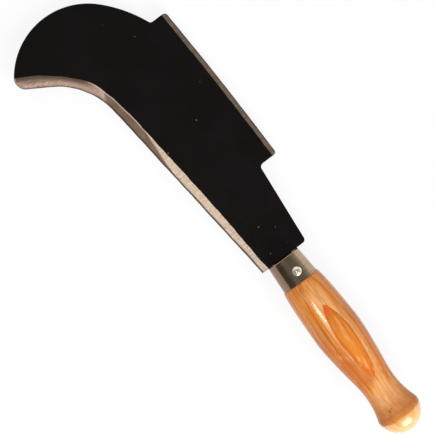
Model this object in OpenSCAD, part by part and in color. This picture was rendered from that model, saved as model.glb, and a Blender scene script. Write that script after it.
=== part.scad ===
// Billhook: a hand tool with a hooked, double-edged steel blade on a turned wooden handle.
// The blade lies in the XY plane: +X runs along the handle axis to the nose, +Y to the main cutting edge.
// The origin is on the handle axis, where the grip is thickest. All sizes are in millimetres.

/* [Blade] */
// Length from the shoulder, at the ferrule, to the end of the nose
blade_length = 254; // [230:1:290]
// Thickness of the plate
blade_thickness = 5.5; // [4:0.1:8]
// Distance from the handle axis to the main edge, at the shoulder
shoulder_front = 19.2; // [17:0.1:26]
// Distance from the handle axis to the back of the neck, at the shoulder
shoulder_back = 21.8; // [17:0.1:26]
// Angle at which the main edge spreads from the handle axis, in degrees
front_angle = 5.4; // [3:0.1:8]
// Angle at which the back of the neck spreads from the handle axis, in degrees
neck_angle = 5.6; // [3:0.1:8]
// Radius that rounds the back corner of the shoulder
shoulder_radius = 3; // [1:0.1:5]

/* [Nose and hook] */
// Radius of the outside of the nose
nose_radius = 56.2; // [50:0.1:62]
// Distance from the handle axis to the centre of the nose, towards the main edge
nose_offset = 35.1; // [30:0.1:40]
// Direction in which the nose runs into its flatter crown, in degrees from the back
crown_angle = 44; // [38:1:52]
// Length of the straight main edge, from the shoulder to the hollow of the hook
straight_edge = 165.2; // [150:0.1:172]
// Radius of the hollow of the hook
hook_radius = 58.7; // [50:0.1:64]
// Angle between the beak's edge and the handle axis, in degrees
beak_angle = 58; // [50:0.1:68]
// Radius that rounds the point of the beak
beak_radius = 8.6; // [5:0.1:12]

/* [Back plate] */
// Distance from the shoulder to the start of the back plate
back_start = 66.4; // [50:0.1:80]
// Length of the back plate's edge
back_length = 135.8; // [120:0.1:142]
// Distance from the handle axis to the back edge, at the end near the handle
back_height_heel = 44.4; // [38:0.1:50]
// Distance from the handle axis to the back edge, at the end near the nose
back_height_nose = 41.6; // [38:0.1:50]
// How far the middle of the back edge bows out
back_bow = 0.9; // [0.4:0.1:2]
// Distance from the handle axis to the foot of the step at the nose
crown_foot = 27.6; // [24:0.1:31]
// Radius in the corner at the foot of the step near the handle
step_fillet = 3.4; // [1:0.1:6]

/* [Ground edges] */
// Width of the ground face along the straight main edge
front_grind = 7.6; // [5:0.1:8]
// Width of the ground face in the hollow of the hook, wider than on the straight edges beside it
hook_grind = 9; // [8.8:0.1:12]
// Width of the ground face along the beak
beak_grind = 8.5; // [5:0.1:8.6]
// Width of the ground face along the back edge
back_grind = 3.8; // [2:0.1:6]
// Thickness left at the cutting edges
edge_thickness = 0.6; // [0.3:0.1:1]

/* [Tang] */
// Length of the tang inside the ferrule and the handle
tang_length = 100; // [60:1:110]
// Width of the tang at the shoulder
tang_root = 16; // [12:0.1:18]
// Width of the tang at its end
tang_tip = 7; // [4:0.1:10]
// How far each face of the tang lies below the face of the plate
tang_relief = 0.25; // [0.1:0.05:0.6]
// Gap between the tang and its slot in the wood, on each side
tang_clearance = 0.1; // [0.05:0.05:0.3]

/* [Ferrule] */
// Length of the ferrule
ferrule_length = 22; // [18:0.5:30]
// Outer diameter at the mouth, where the blade sits
ferrule_mouth_d = 27.4; // [25:0.1:30]
// Outer diameter at the end next to the grip
ferrule_end_d = 30.4; // [28:0.1:31]
// Wall of the ferrule
ferrule_wall = 1.2; // [0.8:0.1:2]
// Gap between the ferrule and the wood inside it
ferrule_clearance = 0.05; // [0.02:0.01:0.2]

/* [Rivet] */
// Diameter of the shank
rivet_d = 4; // [3:0.1:5]
// Diameter of each head
rivet_head_d = 7.2; // [6:0.1:9]
// Height of each head above the ferrule
rivet_head_h = 1.7; // [1:0.1:2.5]
// Distance from the ferrule's mouth to the rivet
rivet_from_mouth = 13.6; // [8:0.1:15]
// Distance from the handle axis to the rivet, towards the back
rivet_offset = 2.1; // [0:0.1:3]
// Gap between the shank and its holes
rivet_clearance = 0.05; // [0.02:0.01:0.2]

/* [Handle] */
// Diameter at the thickest part of the grip
grip_d = 38; // [34:0.1:42]
// Length from the thickest part of the grip to the ferrule
grip_fore = 48.1; // [40:0.1:60]
// Diameter of the wood where it meets the ferrule
handle_front_d = 31.6; // [31.2:0.1:33]
// Length from the thickest part of the grip to the waist
grip_aft = 51.4; // [42:0.1:65]
// Diameter at the waist
waist_d = 27.5; // [24:0.1:30]
// Share of the taper behind the grip that still bulges outwards, before it hollows into the waist
taper_share = 0.62; // [0.4:0.01:0.75]
// Length from the waist to the rim at the butt
flare_length = 23; // [18:0.1:30]
// Diameter at the rim
rim_d = 35.2; // [33:0.1:40]
// Length of the straight land at the rim
rim_land = 0.8; // [0.4:0.1:2]
// Distance from the ferrule's mouth to the front of the wood inside it
spigot_recess = 0.6; // [0.2:0.1:1.5]

/* [Butt cap] */
// Distance from the rim to the flat face that carries the cap
cap_seat = 2.1; // [1:0.1:6]
// Diameter of the cap's spigot
cap_spigot_d = 15; // [10:0.1:18]
// Length of the cap's spigot
cap_spigot_length = 14; // [8:0.5:18]
// Gap between the spigot and its socket
cap_clearance = 0.1; // [0.05:0.05:0.3]

/* [Hidden] */

// Circles of ordinary size, and of the long shallow arcs
$fn = 120;
shallow_fn = 1440;
// How far a cutting shape runs past what it cuts
overrun = 1;
// How far outlines that make one piece run into each other
overlap = 10;
// How far a rounding arc crosses the edges that it runs into
blend = 0.02;

// Places along the handle axis
shoulder_x = grip_fore + ferrule_length;
rivet_x = shoulder_x - rivet_from_mouth;
waist_x = -grip_aft;
rim_x = waist_x - flare_length;
cap_x = rim_x - cap_seat;

// Thickness of the tang, between its two relieved faces
tang_thickness = blade_thickness - 2 * tang_relief;

// Radii of the turned handle
grip_r = grip_d / 2;
waist_r = waist_d / 2;
rim_r = rim_d / 2;
front_r = handle_front_d / 2;
// Radius of an arc that starts level and moves aside by rise over a length of run
function arc_radius(run, rise) = (run * run + rise * rise) / (2 * rise);
fore_arc_r = arc_radius(grip_fore, grip_r - front_r);
taper_arc_r = arc_radius(grip_aft, grip_r - waist_r);
bulge_arc_r = taper_share * taper_arc_r;
hollow_arc_r = (1 - taper_share) * taper_arc_r;
flare_arc_r = arc_radius(flare_length - rim_land, rim_r - waist_r);

// Outer radius of the ferrule at a place along the axis
ferrule_taper = (ferrule_end_d - ferrule_mouth_d) / 2 / ferrule_length;
function ferrule_r(x) = ferrule_mouth_d / 2 + (shoulder_x - x) * ferrule_taper;
// Height of the ferrule's surface under the rivet
rivet_seat_z = sqrt(pow(ferrule_r(rivet_x), 2) - rivet_offset * rivet_offset);

// Blade outline, measured from the shoulder
function along(angle) = [cos(angle), sin(angle)];
function front_y(x) = shoulder_front + x * tan(front_angle);
function neck_y(x) = -shoulder_back - x * tan(neck_angle);
back_end = back_start + back_length;

// Hollow of the hook: an arc that touches both the straight main edge and the beak's straight edge
hook_from = [straight_edge, front_y(straight_edge)];
hook_centre = hook_from + hook_radius * along(front_angle + 90);
hook_to = hook_centre + hook_radius * along(beak_angle - 90);

// Nose, and the flatter crown arc from the nose to the foot of the step
nose_centre = [blade_length - nose_radius, nose_offset];
crown_foot_point = [back_end, -crown_foot];
crown_dir = along(crown_angle - 90);
crown_reach = crown_foot_point - nose_centre;
crown_excess = crown_reach * crown_reach - nose_radius * nose_radius;
crown_extra = crown_excess / 2 / (nose_radius - crown_reach * crown_dir);
crown_radius = nose_radius + crown_extra;
crown_centre = nose_centre - crown_extra * crown_dir;
crown_from = nose_centre + nose_radius * crown_dir;

// Rounded point of the beak: an arc that touches the beak's edge and the inside of the nose circle
beak_dir = along(beak_angle);
beak_out = along(beak_angle - 90);
beak_start = hook_to + beak_radius * beak_out - nose_centre;
beak_run = -beak_start * beak_dir + sqrt(pow(beak_start * beak_dir, 2) - beak_start * beak_start
    + pow(nose_radius - beak_radius, 2));
beak_centre = nose_centre + beak_start + beak_run * beak_dir;
beak_nose_dir = (beak_centre - nose_centre) / norm(beak_centre - nose_centre);

// Back edge: a shallow arc through both ends of the back plate
back_heel = [back_start, -back_height_heel];
back_nose = [back_end, -back_height_nose];
back_chord = norm(back_nose - back_heel);
back_tilt = atan2(back_nose[1] - back_heel[1], back_length);
back_arc_r = arc_radius(back_chord / 2, back_bow);
back_centre = (back_heel + back_nose) / 2 + (back_arc_r - back_bow) * along(back_tilt + 90);

// Corner at the foot of the step near the handle
step_foot = [back_start, neck_y(back_start)];
fillet_x = back_start - step_fillet;
fillet_centre = [fillet_x, neck_y(fillet_x) - step_fillet / cos(neck_angle)];
fillet_touch = fillet_centre + step_fillet * along(90 - neck_angle);

// Rounded back corner of the shoulder
corner_y = neck_y(shoulder_radius) + shoulder_radius / cos(neck_angle);
corner_centre = [shoulder_radius, corner_y];

// A slice of a disc between two directions, cut away to leave its rounded edge
module rounded_corner(centre, radius, dir_a, dir_b) {
    reach = 2 * radius;
    difference() {
        polygon([
            centre,
            centre + reach * dir_a,
            centre + reach * (dir_a + dir_b),
            centre + reach * dir_b
        ]);
        translate(centre) circle(r = radius + blend);
    }
}

module nose_outline() {
    translate(nose_centre) circle(r = nose_radius);
    intersection() {
        translate(crown_centre) circle(r = crown_radius - blend, $fn = shallow_fn);
        polygon([
            nose_centre,
            crown_foot_point - [overlap, 0],
            crown_foot_point + overlap * crown_dir,
            crown_from + overlap * crown_dir
        ]);
    }
}

// Back plate from its shallow edge to the handle axis, with the fillet at its foot
module back_outline() {
    intersection() {
        translate(back_centre) circle(r = back_arc_r, $fn = shallow_fn);
        translate([back_start, -2 * back_height_heel]) square([back_length, 2 * back_height_heel]);
    }
    difference() {
        polygon([
            step_foot + [overlap, 0],
            step_foot + [0, overlap],
            fillet_touch + [0, overlap],
            fillet_touch,
            fillet_centre,
            [back_start, fillet_centre[1]],
            [back_start + overlap, fillet_centre[1]]
        ]);
        translate(fillet_centre) circle(r = step_fillet + blend);
    }
}

// Neck and middle of the blade, past the line of the main edge, which is cut afterwards
module body_outline() {
    middle_x = back_start + back_length / 2;
    polygon([
        [0, -shoulder_back],
        [middle_x, neck_y(middle_x)],
        nose_centre,
        [straight_edge, front_y(straight_edge) + overlap],
        [0, shoulder_front + overlap]
    ]);
}

// Everything in front of the main edge, the hook and the beak
module front_cut() {
    translate(hook_centre) circle(r = hook_radius);
    polygon([
        [-overrun, front_y(-overrun)],
        hook_from,
        hook_to,
        hook_to + 2 * nose_radius * beak_dir,
        hook_from + 2 * nose_radius * along(front_angle + 90),
        [-overrun, front_y(-overrun) + 2 * nose_radius]
    ]);
}

module tang_outline(gap) {
    polygon([
        [overlap, tang_root / 2 + gap],
        [0, tang_root / 2 + gap],
        [-tang_length - gap, tang_tip / 2 + gap],
        [-tang_length - gap, -tang_tip / 2 - gap],
        [0, -tang_root / 2 - gap],
        [overlap, -tang_root / 2 - gap]
    ]);
}

module blade_outline() {
    difference() {
        union() {
            nose_outline();
            back_outline();
            body_outline();
        }
        front_cut();
        rounded_corner(beak_centre, beak_radius, along(beak_angle + 90), beak_nose_dir);
        rounded_corner(corner_centre, shoulder_radius, [-1, 0], along(-90 - neck_angle));
    }
}

// Section of what grinding takes off above one ground face, down to the thickness left at the edge.
// The edge lies at x = 0, the blade at x < 0.
module grind_section(width, edge) {
    slope = (blade_thickness - edge) / 2 / width;
    top = blade_thickness / 2 + overrun * slope;
    polygon([
        [-width - overrun, top],
        [overrun, edge / 2 - overrun * slope],
        [overrun, top]
    ]);
}

module straight_grind(width, from, to) {
    translate([from, 0, 0]) rotate([90, 0, 90])
        linear_extrude(height = to - from) grind_section(width, edge_thickness);
}

module front_grinding() {
    translate([0, shoulder_front, 0]) rotate(front_angle)
        straight_grind(front_grind, -overrun, straight_edge / cos(front_angle));
    translate(hook_centre) rotate_extrude()
        translate([hook_radius, 0]) mirror([1, 0]) grind_section(hook_grind, edge_thickness - 2 * blend);
    translate(hook_to) rotate(beak_angle) straight_grind(beak_grind, 0, nose_radius);
}

module back_grinding() {
    sweep = 2 * asin((back_chord / 2 + overrun + back_grind) / back_arc_r);
    translate(back_centre) rotate(back_tilt - 90 - sweep / 2)
        rotate_extrude(angle = sweep, $fn = shallow_fn)
            translate([back_arc_r, 0]) grind_section(back_grind, edge_thickness);
}

module rivet_hole() {
    translate([rivet_x, -rivet_offset, 0])
        cylinder(d = rivet_d + 2 * rivet_clearance, h = 2 * grip_d, center = true);
}

// Turns a section, with its radius along x and its place along the handle axis as y, about the handle axis
module turned() {
    rotate([0, 90, 0]) rotate(90) rotate_extrude() children();
}

module blade() {
    color([0.11, 0.10, 0.10])
        difference() {
            translate([shoulder_x, 0, 0]) {
                difference() {
                    linear_extrude(height = blade_thickness, center = true) blade_outline();
                    for (side = [0, 1]) mirror([0, 0, side]) {
                        front_grinding();
                        back_grinding();
                    }
                }
                linear_extrude(height = tang_thickness, center = true) tang_outline(0);
            }
            rivet_hole();
        }
}

// Cone of the ferrule's outside, moved in by inset
module ferrule_cone(inset, from, to) {
    polygon([
        [0, from],
        [ferrule_r(from) - inset, from],
        [ferrule_r(to) - inset, to],
        [0, to]
    ]);
}

module ferrule() {
    color([0.62, 0.56, 0.48])
        difference() {
            turned() difference() {
                ferrule_cone(0, grip_fore, shoulder_x);
                ferrule_cone(ferrule_wall, grip_fore - overrun, shoulder_x + overrun);
            }
            rivet_hole();
        }
}

// Domed head, long enough below the dome to be cut to the ferrule's curve
module rivet_head() {
    dome_r = arc_radius(rivet_head_d / 2, rivet_head_h);
    translate([rivet_x, -rivet_offset, rivet_seat_z])
        intersection() {
            translate([0, 0, rivet_head_h - dome_r]) sphere(r = dome_r);
            translate([0, 0, -rivet_head_d / 2]) cylinder(d = rivet_head_d, h = rivet_head_d);
        }
}

module ferrule_rivet() {
    color([0.80, 0.76, 0.70]) {
        difference() {
            for (side = [0, 1]) mirror([0, 0, side]) rivet_head();
            turned() ferrule_cone(0, grip_fore - overrun, shoulder_x + overrun);
        }
        translate([rivet_x, -rivet_offset, 0])
            cylinder(d = rivet_d, h = 2 * rivet_seat_z + rivet_head_h, center = true);
    }
}

// Each arc lies a hair lower than the one that runs into it, so that the two cross
module handle_section() {
    inflection = taper_share * grip_aft;
    // Front of the grip
    intersection() {
        translate([grip_r - fore_arc_r, 0]) circle(r = fore_arc_r - blend, $fn = shallow_fn);
        square([grip_r, grip_fore]);
    }
    // Bulging part of the taper
    intersection() {
        translate([grip_r - bulge_arc_r, 0]) circle(r = bulge_arc_r, $fn = shallow_fn);
        translate([0, -inflection - overlap]) square([grip_r, inflection + 2 * overlap]);
    }
    // Hollow part of the taper
    difference() {
        translate([0, waist_x - overlap]) square([grip_r, grip_aft - inflection + overlap]);
        translate([waist_r + hollow_arc_r, waist_x]) circle(r = hollow_arc_r + blend, $fn = shallow_fn);
    }
    // Flare to the land at the rim
    difference() {
        translate([0, rim_x]) square([rim_r, flare_length]);
        translate([waist_r + flare_arc_r, waist_x]) circle(r = flare_arc_r + 2 * blend, $fn = shallow_fn);
    }
    // Start of the domed butt, up to the cap's seat
    intersection() {
        translate([0, rim_x]) circle(r = rim_r);
        translate([0, cap_x]) square([rim_r, cap_seat]);
    }
    ferrule_cone(ferrule_wall + ferrule_clearance, grip_fore, shoulder_x - spigot_recess);
}

module handle() {
    color([0.90, 0.55, 0.25])
        difference() {
            turned() handle_section();
            translate([shoulder_x, 0, 0])
                linear_extrude(height = tang_thickness + 2 * tang_clearance, center = true)
                    tang_outline(tang_clearance);
            rivet_hole();
            translate([cap_x - overrun, 0, 0]) rotate([0, 90, 0])
                cylinder(
                    d = cap_spigot_d + 2 * cap_clearance,
                    h = cap_spigot_length + cap_clearance + overrun
                );
        }
}

module butt_cap() {
    color([0.96, 0.77, 0.50])
        turned() {
            intersection() {
                translate([0, rim_x]) circle(r = rim_r);
                translate([0, rim_x - rim_r]) square([rim_r, rim_r - cap_seat]);
            }
            translate([0, cap_x - overrun]) square([cap_spigot_d / 2, cap_spigot_length + overrun]);
        }
}

blade();
ferrule();
ferrule_rivet();
handle();
butt_cap();
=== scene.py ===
# %% [markdown]
# # A billhook in Blender
# A billhook is a hedger's chopping tool: a hooked steel blade, a steel ferrule with one rivet and a turned
# wooden handle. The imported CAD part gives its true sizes, in metres, in one frame: +X runs along the handle
# to the nose of the blade, +Y points to the main cutting edge, and +Z points up from the flat of the blade.
# The CAD nodes could simply be painted. Here each piece is worked out again as a numpy surface that lies in
# the same place, so that hand-ground edges, rounded lips and measured curves show, and the CAD nodes are
# hidden behind them.

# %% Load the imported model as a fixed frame
import math

import bmesh
import bpy
import numpy as np
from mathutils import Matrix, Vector


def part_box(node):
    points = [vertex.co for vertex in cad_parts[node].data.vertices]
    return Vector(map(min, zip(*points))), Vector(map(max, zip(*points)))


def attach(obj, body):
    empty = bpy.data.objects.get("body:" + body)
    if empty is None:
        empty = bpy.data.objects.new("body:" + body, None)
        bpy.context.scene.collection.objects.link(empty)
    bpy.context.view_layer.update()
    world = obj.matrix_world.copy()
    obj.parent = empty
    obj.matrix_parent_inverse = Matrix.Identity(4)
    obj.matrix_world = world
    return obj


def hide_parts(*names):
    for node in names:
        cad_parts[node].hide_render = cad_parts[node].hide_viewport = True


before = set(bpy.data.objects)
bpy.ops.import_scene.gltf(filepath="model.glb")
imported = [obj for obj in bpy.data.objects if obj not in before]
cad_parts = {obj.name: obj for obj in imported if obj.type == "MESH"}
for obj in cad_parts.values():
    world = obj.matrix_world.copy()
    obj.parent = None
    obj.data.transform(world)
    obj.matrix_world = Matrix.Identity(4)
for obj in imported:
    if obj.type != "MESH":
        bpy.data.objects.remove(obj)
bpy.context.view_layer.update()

MM = 0.001

# %% [markdown]
# ## Camera
# The photograph is taken from straight above the tool, about 0.9 m away: the seam of the domed end bends
# towards the edge of the picture as only a near camera shows it. A camera that looks down -Z needs one turn
# about Z to put the handle at the lower right. The lens angle follows from the width of the picture on the
# plane of the handle axis.

# %% Camera above the tool
PICTURE_WIDTH, CAMERA_HEIGHT = 330.8 * MM, 0.91
PICTURE_CENTRE = (123.9 * MM, 20.85 * MM)
PICTURE_TURN = math.radians(-127.14)

camera = bpy.data.objects.new("camera", bpy.data.cameras.new("camera"))
camera.data.sensor_fit = "HORIZONTAL"
camera.data.angle = 2 * math.atan(PICTURE_WIDTH / 2 / CAMERA_HEIGHT)
camera.location = (*PICTURE_CENTRE, CAMERA_HEIGHT)
camera.rotation_euler = (0, 0, PICTURE_TURN)
bpy.context.scene.collection.objects.link(camera)
bpy.context.scene.camera = camera
print("lens angle in degrees:", round(math.degrees(camera.data.angle), 2))

# %% [markdown]
# ## Helpers for shader nodes
# Every finish below is a handful of nodes. Written out one by one they are long to read, so the output of a
# node is wrapped as a value to reckon with: a + b adds a Math node, and place.noise(24) a noise at that
# place. Colours are given as they look on screen.

# %% Nodes and colours
def fill(sockets, values):
    """Gives each socket, by name or number, its value: a node's value is linked, a plain one written."""
    for key, value in dict(values).items():
        if isinstance(value, Value):
            sockets[key].id_data.links.new(value.socket, sockets[key])
        else:
            sockets[key].default_value = value


def put(tree, kind, inputs=(), **settings):
    """Adds a shader node, sets it up and fills its inputs. Returns its outputs by name and number."""
    node = tree.nodes.new("ShaderNode" + kind)
    for name, value in settings.items():
        setattr(node, name, value)
    fill(node.inputs, inputs)
    return {key: Value(socket) for number, socket in enumerate(node.outputs) for key in (number, socket.name)}


def paint(colour):
    """A colour c as seen on screen, 0 to 255, in the linear values of shaders: c / 12.92 near black, above it
    (c + 0.055) / 1.055 to the power of 2.4, with c as a share of 255. A node's value stays as it is."""
    if isinstance(colour, Value):
        return colour
    seen = np.array(colour) / 255
    linear = np.where(seen <= 0.04045, seen / 12.92, ((seen + 0.055) / 1.055) ** 2.4)
    return (*linear.tolist(), 1.0)


# %% Values that add the next node
class Value:
    """A node's output. The signs + - * / and the methods add one node behind it and return its output."""

    def __init__(self, socket):
        self.socket = socket

    def put(self, kind, inputs=(), **settings):
        """A node in the same tree."""
        return put(self.socket.id_data, kind, inputs, **settings)

    def math(self, operation, *others):
        """One Math node, with this value as its first."""
        return self.put("Math", dict(enumerate((self, *others))), operation=operation)[0]

    def __add__(self, other):
        return self.math("ADD", other)

    __radd__ = __add__

    def __sub__(self, other):
        return self.math("SUBTRACT", other)

    def __rsub__(self, other):
        return self.put("Math", {0: other, 1: self}, operation="SUBTRACT")[0]

    def __mul__(self, other):
        return self.math("MULTIPLY", other)

    def __truediv__(self, other):
        return self.math("DIVIDE", other)

    def spread(self, low, high, to_low=0.0, to_high=1.0):
        """Carries the value from low..high to to_low..to_high, smoothly and without leaving that range."""
        sockets = {"Value": self, "From Min": low, "From Max": high, "To Min": to_low, "To Max": to_high}
        return self.put("MapRange", sockets, interpolation_type="SMOOTHSTEP")[0]

    def zone(self, low, high, *to):
        """The same for a length, with low and high in millimetres."""
        return self.spread(low * MM, high * MM, *to)

    def mix(self, first, second):
        """Mixes two colours: first where the value is 0, second where it is 1."""
        return self.put("Mix", {0: self, 6: paint(first), 7: paint(second)}, data_type="RGBA")[2]

    def ramp(self, stops):
        """A colour for each value: stops are (place, colour) pairs, with even changes between them."""
        colours = self.put("ValToRGB", {0: self})[0]
        elements = colours.socket.node.color_ramp.elements
        while len(elements) < len(stops):
            elements.new(0.5)
        for element, (place, colour) in zip(elements, stops):
            element.position, element.color = place, paint(colour)
        return colours

    def parts(self):
        """The three parts of a vector or of a colour."""
        made = self.put("SeparateXYZ", {0: self})
        return made[0], made[1], made[2]

    def stretch(self, scale=(1, 1, 1), turn=0.0, shift=(0, 0, 0)):
        """Scales a place, then turns it about Z by so many degrees and shifts it."""
        turn = (0, 0, math.radians(turn))
        return self.put("Mapping", {"Vector": self, "Location": shift, "Rotation": turn, "Scale": scale})[0]

    def noise(self, scale, detail=2.0, roughness=0.5):
        """Soft random values round 0.5 at a place."""
        sockets = {"Vector": self, "Scale": scale, "Detail": detail, "Roughness": roughness}
        return self.put("TexNoise", sockets)["Fac"]

    def cells(self, scale, **settings):
        """Random cells at a place: the distance from the middle of the nearest one, and its own colour."""
        return self.put("TexVoronoi", {"Vector": self, "Scale": scale}, **settings)

    def effect(self, group, *values):
        """A shared effect at a place, with values for its other inputs in their order."""
        return self.put("Group", dict(enumerate((self, *values))), node_tree=group)

    def gloss(self, scale, low, high):
        """Patchy roughness at a place."""
        return self.effect(patchy, scale, low, high)["Roughness"]

    def bump(self, distance, strength=1.0):
        """Normals of a relief with the value as its height, where 1 stands for distance metres."""
        return self.put("Bump", {"Height": self, "Distance": distance, "Strength": strength})[0]


print("linear value of mid grey:", round(paint((128, 128, 128))[0], 3))

# %% Groups, finishes and coats of colour
def new_group(name, inputs, outputs):
    """Starts a node group, its sockets plain values except Vector. Returns it and its inputs' values."""
    group = bpy.data.node_groups.new(name, "ShaderNodeTree")
    for way, labels in (("INPUT", inputs), ("OUTPUT", outputs)):
        for label in labels:
            kind = "NodeSocketVector" if label == "Vector" else "NodeSocketFloat"
            group.interface.new_socket(label, in_out=way, socket_type=kind)
    return group, [Value(socket) for socket in group.nodes.new("NodeGroupInput").outputs[:len(inputs)]]


def give(group, results):
    """Fills the outputs of a group."""
    fill(group.nodes.new("NodeGroupOutput").inputs, results)
    print("group:", group.name)


def new_finish(name):
    """A material with one Principled shader. Returns it with the place of a point, in Object coordinates."""
    material = bpy.data.materials.new(name)
    material.use_nodes = True
    return material, put(material.node_tree, "TexCoord")["Object"]


def dress(material, values):
    """Fills the inputs of a material's shader."""
    fill(material.node_tree.nodes["Principled BSDF"].inputs, values)
    print("finish:", material.name)


def lay(colour, *coats):
    """Lays coats over a colour, one after another: each is the share that it covers and its own colour."""
    for share, coat in coats:
        colour = share.mix(colour, coat)
    return colour

# %% [markdown]
# ## Shared effects
# Four effects come back in several finishes: patchy gloss, drawn-out scratches, worn rims and the growth
# layers of wood. Each could be copied into every material. A node group is built once instead, and each
# material places it with its own values. A group puts out only masks and values, and the shader itself stays
# in the material.

# %% Groups: patchy gloss, drawn-out scratches and worn rims
patchy, (place, scale, low, high) = new_group(
    "patchy gloss", ("Vector", "Scale", "Low", "High"), ("Roughness",))
give(patchy, {"Roughness": place.noise(scale, 4.0, 0.6).spread(0.3, 0.7, low, high)})

COARSER = 0.17
drawn, (place, lines, drawn_out) = new_group(
    "drawn scratches", ("Vector", "Lines per metre", "Drawn out"), ("Height", "Streak"))
along, across, up = place.parts()
long_way = place.put("CombineXYZ", {0: along / drawn_out, 1: across, 2: up})[0]
give(drawn, {"Height": long_way.noise(lines, 5.0, 0.65),
             "Streak": long_way.noise(lines * COARSER, 3.0, 0.6).spread(0.32, 0.68)})

worn, (place, rim, amount) = new_group("worn rim", ("Vector", "Rim", "Amount"), ("Mask",))
give(worn, {"Mask": (place.noise(420.0, 4.0, 0.65) + rim * amount).spread(0.95, 1.15)})

# %% [markdown]
# The wood is a bundle of growth layers, which are nearly cylinders round the pith of the tree. The pith of
# this blank lies above the handle, so the swell of the grip cuts the layers in closed loops. A picture of
# grain could be wrapped round the handle, but layers worked out in space run right through the wood and meet
# at every cut. Within one layer the wood goes from pale and porous to dark and dense, and then starts again
# with a sharp line.

# %% Group: growth layers
grown, (place, pith, lean, layer, first_line, waver) = new_group(
    "growth layers", ("Vector", "Pith height", "Lean", "Layer", "First line", "Waver"),
    ("Late wood", "Inside", "Count", "Fibre", "Pores"))
along, across, up = place.parts()
frayed = place.stretch((30, 480, 480)).noise(1.0, 3.0, 0.6) - 0.5
wavy = place.stretch((14, 60, 60)).noise(1.0, 3.0, 0.55) + frayed * 0.4
depth = pith - up - along * lean
from_pith = (depth * depth + across * across).math("SQRT")
count = (from_pith + (wavy - 0.5) * waver - first_line) / layer
late = count.math("FRACT")
cells = place.stretch((60, 1100, 1100)).cells(1.0)["Distance"]
give(grown, {"Late wood": late, "Inside": count.spread(0.03, -0.03), "Count": count,
             "Fibre": place.stretch((26, 460, 460)).noise(1.0, 4.0, 0.7),
             "Pores": cells.spread(0.32, 0.16) * late.spread(0.3, 0.05)})

# %% [markdown]
# ## Helpers for meshes
# A grid of points needs only its row and column counts to get its faces. Every piece below is made of such
# grids. A turned piece is a profile of (place along the axis, radius) pairs that is carried round the handle
# axis.

# %% Grids and pieces
def grid_quads(rows, columns, wrap_rows=False, wrap_columns=False, first=0):
    """Corner numbers of a grid's quads, its points stored row by row: (i, j), (i, j+1), (i+1, j+1), (i+1, j).
    A wrapped side joins its last line of points to its first."""
    i = np.arange(rows if wrap_rows else rows - 1)[:, None]
    j = np.arange(columns if wrap_columns else columns - 1)[None, :]
    below, beside = (i + 1) % rows, (j + 1) % columns
    corners = (i * columns + j, i * columns + beside, below * columns + beside, below * columns + j)
    return first + np.stack(np.broadcast_arrays(*corners), axis=-1).reshape(-1, 4)


def weld(mesh):
    """Merges points that lie on each other, which closes seams and poles, and turns all faces outwards."""
    work = bmesh.new()
    work.from_mesh(mesh)
    bmesh.ops.remove_doubles(work, verts=work.verts, dist=0.001 * MM)
    bmesh.ops.recalc_face_normals(work, faces=work.faces)
    work.to_mesh(mesh)
    work.free()


def make_piece(name, points, faces, node, finishes, marked=(), flow=None, smooth=None, bare=None):
    """Puts points and faces into a mesh that stands for a CAD node. marked maps names to values for each
    point, flow holds two coordinates for each point, along and across the piece, smooth says for each face
    whether it is shaded smoothly, and bare gives the number of its finish."""
    mesh = bpy.data.meshes.new(name)
    mesh.from_pydata(points.tolist(), [], [np.asarray(face).tolist() for face in faces])
    for finish in finishes:
        mesh.materials.append(finish)
    mesh.polygons.foreach_set("use_smooth", np.ones(len(faces), bool) if smooth is None else smooth)
    if bare is not None:
        mesh.polygons.foreach_set("material_index", bare)
    for label, values in dict(marked).items():
        mesh.attributes.new(label, "FLOAT", "POINT").data.foreach_set("value", np.asarray(values, np.float32))
    if flow is not None:
        corners = np.empty(len(mesh.loops), np.int32)
        mesh.loops.foreach_get("vertex_index", corners)
        mesh.uv_layers.new(name="flow").data.foreach_set("uv", flow[corners].astype(np.float32).ravel())
    weld(mesh)
    piece = bpy.data.objects.new(name, mesh)
    bpy.context.scene.collection.objects.link(piece)
    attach(piece, "root")
    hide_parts(node)
    print(name, "faces:", len(mesh.polygons), "mm:", [round(side / MM, 1) for side in piece.dimensions])


# %% Turned forms
STEPS = 128


def turned(profile, swell=None):
    """Carries a profile of (x, radius) rows round the X axis: (x, r cos a, r sin a) for STEPS angles a.
    swell, if given, is added to the radius as a function of x and a, for the marks of hand work."""
    angle = np.linspace(0, 2 * np.pi, STEPS, endpoint=False)[None, :]
    along, radius = profile[:, :1], profile[:, 1:]
    if swell is not None:
        radius = np.where(radius > 0, radius + swell(along, angle), radius)
    points = np.stack(np.broadcast_arrays(along, radius * np.cos(angle), radius * np.sin(angle)), axis=-1)
    return points.reshape(-1, 3)


def turned_quads(points, closed=False):
    """Quads of a turned form, stored ring by ring. A closed profile joins its last ring to its first."""
    return grid_quads(len(points) // STEPS, STEPS, wrap_rows=closed, wrap_columns=True)


print("points round a turned form:", STEPS)

# %% Curves
def unit(degrees):
    """Unit vectors in the plane, at the given angles anticlockwise from +X."""
    turn = np.radians(degrees)
    return np.stack([np.cos(turn), np.sin(turn)], axis=-1)


def angle_of(way):
    """The angle of a vector in the plane, in degrees anticlockwise from +X."""
    return np.degrees(np.arctan2(way[1], way[0]))


def arc(centre, radius, start, end, count):
    """Points of a circle: centre + radius times the unit vector, as the angle goes from start to end."""
    return np.asarray(centre) + radius * unit(np.linspace(start, end, count))


def line(start, end, count):
    """Points of a straight line: start + share times (end - start), as the share goes from 0 to 1."""
    return np.asarray(start) + np.linspace(0, 1, count)[:, None] * (np.asarray(end) - np.asarray(start))


def chain(*parts):
    """Joins curves end to end, each without its first point, which is the last point of the one before."""
    return np.concatenate([parts[0], *[part[1:] for part in parts[1:]]])


def run_of(points):
    """The way along a curve up to each of its points: the sum of the distances between them."""
    return np.concatenate([[0], np.cumsum(np.linalg.norm(np.diff(points, axis=0), axis=1))])


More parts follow.
